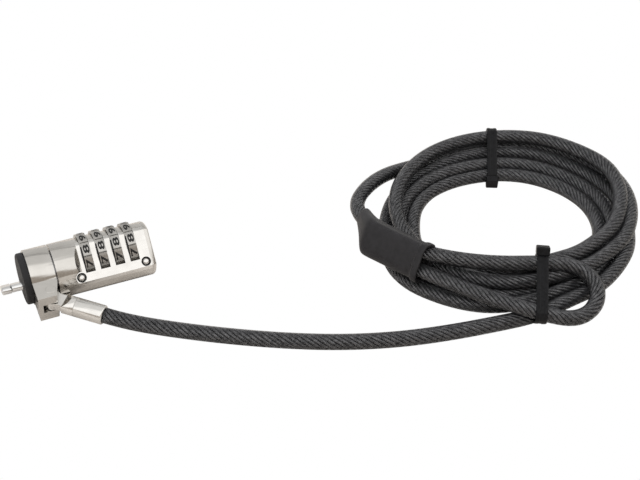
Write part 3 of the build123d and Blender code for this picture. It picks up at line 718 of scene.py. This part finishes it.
def digit_mesh(digit):
    """Flat outline of a digit with its top towards the nose, cut so that it can bend round
    the dial."""
    curve = bpy.data.curves.new("digit", "FONT")
    curve.body = str(digit)
    curve.size = 1.0
    curve.offset = DIGIT_WEIGHT
    curve.resolution_u = 4
    shape = bpy.data.objects.new("digit", curve)
    bpy.context.scene.collection.objects.link(shape)
    graph = bpy.context.evaluated_depsgraph_get()
    mesh = bpy.data.meshes.new_from_object(shape.evaluated_get(graph))
    bpy.data.objects.remove(shape)
    flat = bmesh.new()
    flat.from_mesh(mesh)
    bpy.data.meshes.remove(mesh)
    low = [min(v.co[k] for v in flat.verts) for k in range(2)]
    high = [max(v.co[k] for v in flat.verts) for k in range(2)]
    wide = DIGIT_W * (ONE_WIDTH if digit == 1 else 1.0)
    for v in flat.verts:
        across = (v.co.x - (low[0] + high[0]) / 2) / (high[0] - low[0]) * wide
        upward = (v.co.y - (low[1] + high[1]) / 2) / (high[1] - low[1]) * DIGIT_H
        v.co.x, v.co.y = DIGIT_SHIFT - upward, across
    for cut in np.linspace(-DIGIT_W / 2, DIGIT_W / 2, DIGIT_CUTS)[1:-1]:
        everything = flat.verts[:] + flat.edges[:] + flat.faces[:]
        bmesh.ops.bisect_plane(flat, geom=everything, plane_co=(0, cut, 0), plane_no=(0, 1, 0))
    return flat


def groove_mesh():
    """Flat strip of painted shade for the fine groove line across the dial between two digits."""
    flat = bmesh.new()
    corners = [(-1, -1), (1, -1), (1, 1), (-1, 1)]
    flat.faces.new([flat.verts.new((DIGIT_SHIFT + x * GROOVE_SHADE_LONG / 2, y * GROOVE_SHADE_WIDE / 2, 0))
                    for x, y in corners])
    return flat


def dial_digits(number, material):
    """The ten digits round one dial, filled black, and black lines of painted groove shade between
    them, in one piece.
    """
    axis_x = DIAL_X + DIAL_PITCH * (number - 1)
    joined = bmesh.new()
    marks = [(digit_mesh(digit), digit) for digit in range(DIGITS)]
    marks += [(groove_mesh(), digit + 0.5) for digit in range(DIGITS)]
    for flat, place in marks:
        lean = DIGIT_LEAN + (place - FACING_DIGIT) * DIGIT_TURN
        for v in flat.verts:
            angle = lean + v.co.y / DIAL_R
            outward = OUT * math.cos(angle) + UP * math.sin(angle)
            v.co = (ALONG * (axis_x + v.co.x) + UP * DIAL_UP + outward * (DIAL_R + INK_OUT)) * MM
        bent = bpy.data.meshes.new("bent")
        flat.to_mesh(bent)
        flat.free()
        joined.from_mesh(bent)
        bpy.data.meshes.remove(bent)
    bmesh.ops.recalc_face_normals(joined, faces=joined.faces[:])
    mesh = bpy.data.meshes.new(f"dial_digits_{number}")
    joined.to_mesh(mesh)
    joined.free()
    digits = collection_object(f"dial_digits_{number}", mesh)
    thick = digits.modifiers.new("fill", "SOLIDIFY")
    thick.thickness = INK_T * MM
    thick.offset = 0
    give(digits, material)
    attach(digits, f"dial_{number}")


def facet_point(x, up, out):
    """Point above the dial facet, in millimetres."""
    return ALONG * x + UP * up + OUT * out


def rivet_seats(material):
    """Black ring of painted shade on the floor of the round seat that each cover rivet sits in."""
    inner, outer = SEAT_R
    top, bottom = SEAT_OUT, SEAT_OUT - SEAT_T
    section = [(inner, top), (outer, top), (outer, bottom), (inner, bottom)]
    vertices, faces = [], []
    for x in RIVET_X:
        faces += shifted(tube_grid(len(section), SEAT_SIDES, closed=True), len(vertices))
        for radius, out in section:
            for i in range(SEAT_SIDES):
                turn = 2 * math.pi * i / SEAT_SIDES
                vertices.append(facet_point(x + radius * math.cos(turn),
                                            RIVET_UP + radius * math.sin(turn), out) * MM)
    seats = mesh_object("rivet_seats", vertices, faces)
    give(seats, material)
    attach(seats, "barrel")


def window_gaps(material):
    """Black strips of painted shade along each window's front edge, where the wheel stands back
    from the plate.
    """
    turns = np.linspace(GAP_LOW, GAP_HIGH, GAP_STEPS)
    near, far = (DIAL_R + out for out in GAP_OUT)
    vertices, faces = [], []
    for number in range(DIALS):
        middle = DIAL_X + DIAL_PITCH * number
        low, high = middle - WINDOW_HALF, middle - WINDOW_HALF + GAP_W
        section = [(low, near), (high, near), (high, far), (low, far)]
        faces += shifted(tube_grid(len(turns), len(section)), len(vertices))
        for turn in turns:
            outward = OUT * math.cos(turn) + UP * math.sin(turn)
            for x, radius in section:
                vertices.append((ALONG * x + UP * DIAL_UP + outward * radius) * MM)
    gaps = mesh_object("window_gaps", vertices, faces, smooth=False)
    give(gaps, material)
    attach(gaps, "barrel")


def area_light(name, place, target, size, power):
    """Soft white light from one direction. Place, target and size are in metres."""
    data = bpy.data.lights.new(name, "AREA")
    data.shape = "RECTANGLE"
    data.size, data.size_y = size
    data.energy = power
    light = collection_object(name, data)
    light.location = place
    light.rotation_euler = (Vector(target) - Vector(place)).to_track_quat("-Z", "Y").to_euler()
    light.visible_glossy = False


def studio_world():
    """White for the camera. The pieces reflect bands round the barrel's direction instead."""
    world = bpy.data.worlds.new("studio")
    bpy.context.scene.world = world
    world.use_nodes = True
    nodes, links = world.node_tree.nodes, world.node_tree.links
    seen = nodes["Background"]
    seen.inputs["Color"].default_value = (1, 1, 1, 1)
    seen.inputs["Strength"].default_value = 1.0
    place = nodes.new("ShaderNodeTexCoord")
    axes = nodes.new("ShaderNodeSeparateXYZ")
    links.new(place.outputs["Generated"], axes.inputs["Vector"])
    front = nodes.new("ShaderNodeMath")
    front.operation = "MULTIPLY"
    front.inputs[1].default_value = -1.0
    links.new(axes.outputs["Y"], front.inputs[0])
    turn = nodes.new("ShaderNodeMath")
    turn.operation = "ARCTAN2"
    links.new(axes.outputs["Z"], turn.inputs[0])
    links.new(front.outputs["Value"], turn.inputs[1])
    share = nodes.new("ShaderNodeMapRange")
    share.inputs["From Min"].default_value = -math.pi
    share.inputs["From Max"].default_value = math.pi
    links.new(turn.outputs["Value"], share.inputs["Value"])
    bands = nodes.new("ShaderNodeValToRGB")
    # height round from the front floor line in degrees, and its brightness
    stops = [
        (-20, (0.30, 0.26, 0.22)), (26, (0.44, 0.39, 0.34)), (31, (1.35, 1.34, 1.32)),
        (74, (1.30, 1.29, 1.27)), (79, (0.84, 0.835, 0.82)), (127, (0.80, 0.795, 0.78)),
        (130, (0.10, 0.10, 0.10)), (134, (0.66, 0.655, 0.64)), (178, (0.74, 0.735, 0.72)),
    ]
    elements = bands.color_ramp.elements
    while len(elements) < len(stops):
        elements.new(0.5)
    for element, (degrees, color) in zip(elements, stops):
        element.position = (degrees + 180) / 360
        element.color = (*color, 1)
    links.new(share.outputs["Result"], bands.inputs["Fac"])
    reflected = nodes.new("ShaderNodeBackground")
    reflected.inputs["Strength"].default_value = 1.0
    links.new(bands.outputs["Color"], reflected.inputs["Color"])
    path = nodes.new("ShaderNodeLightPath")
    mix = nodes.new("ShaderNodeMixShader")
    links.new(path.outputs["Is Camera Ray"], mix.inputs["Fac"])
    links.new(reflected.outputs["Background"], mix.inputs[1])
    links.new(seen.outputs["Background"], mix.inputs[2])
    links.new(mix.outputs["Shader"], nodes["World Output"].inputs["Surface"])


def studio_floor():
    """Floor that the camera sees as pure white and the pieces as warm grey."""
    size = 3.0
    corners = [(-size, -size), (size, -size), (size, size), (-size, size)]
    floor = mesh_object("floor", [(x, y, FLOOR_Z * MM) for x, y in corners], [(0, 1, 2, 3)], False)
    material, nodes, links, shader = new_material("floor_white")
    shader.inputs["Base Color"].default_value = (0.50, 0.47, 0.44, 1)
    shader.inputs["Roughness"].default_value = 0.9
    white = nodes.new("ShaderNodeEmission")
    white.inputs["Strength"].default_value = 1.0
    path = nodes.new("ShaderNodeLightPath")
    mix = nodes.new("ShaderNodeMixShader")
    links.new(path.outputs["Is Camera Ray"], mix.inputs["Fac"])
    links.new(shader.outputs["BSDF"], mix.inputs[1])
    links.new(white.outputs["Emission"], mix.inputs[2])
    links.new(mix.outputs["Shader"], nodes["Material Output"].inputs["Surface"])
    give(floor, material)


def studio():
    """Camera, floor, surroundings and lights."""
    azimuth, elevation, distance = math.radians(-24.0), math.radians(36.5), 0.47
    back = Vector((math.sin(azimuth) * math.cos(elevation),
                   -math.cos(azimuth) * math.cos(elevation), math.sin(elevation)))
    target = Vector((116.3, -9.6, FLOOR_Z)) * MM
    camera = collection_object("camera", bpy.data.cameras.new("camera"))
    camera.data.lens = 66.1
    camera.data.sensor_width = 36.0
    camera.data.clip_start = 0.01
    camera.location = target + back * distance
    camera.rotation_euler = (-back).to_track_quat("-Z", "Y").to_euler()
    bpy.context.scene.camera = camera
    studio_floor()
    studio_world()
    area_light("key", (-0.20, -0.30, 0.70), (0.1, -0.02, 0), (0.35, 0.25), 3.0)
    area_light("back", (0.20, 0.55, 0.45), (0.15, -0.02, 0), (0.7, 0.2), 4.0)
    bpy.context.scene.view_settings.view_transform = "Standard"


studio()
jacket, inside, line = cable()
materials = slot_materials()
dress_cad(materials)
ties = [piece for name in TIES for piece in cable_tie(name, line, materials["tie_nylon"])]
sleeve = shrunk_sleeve(materials["sleeve_vinyl"])
return_spring(materials["spring_steel"])
ink_and_painted_shade = ink_material()
for number in range(1, DIALS + 1):
    dial_digits(number, ink_and_painted_shade)
rivet_seats(ink_and_painted_shade)
window_gaps(ink_and_painted_shade)
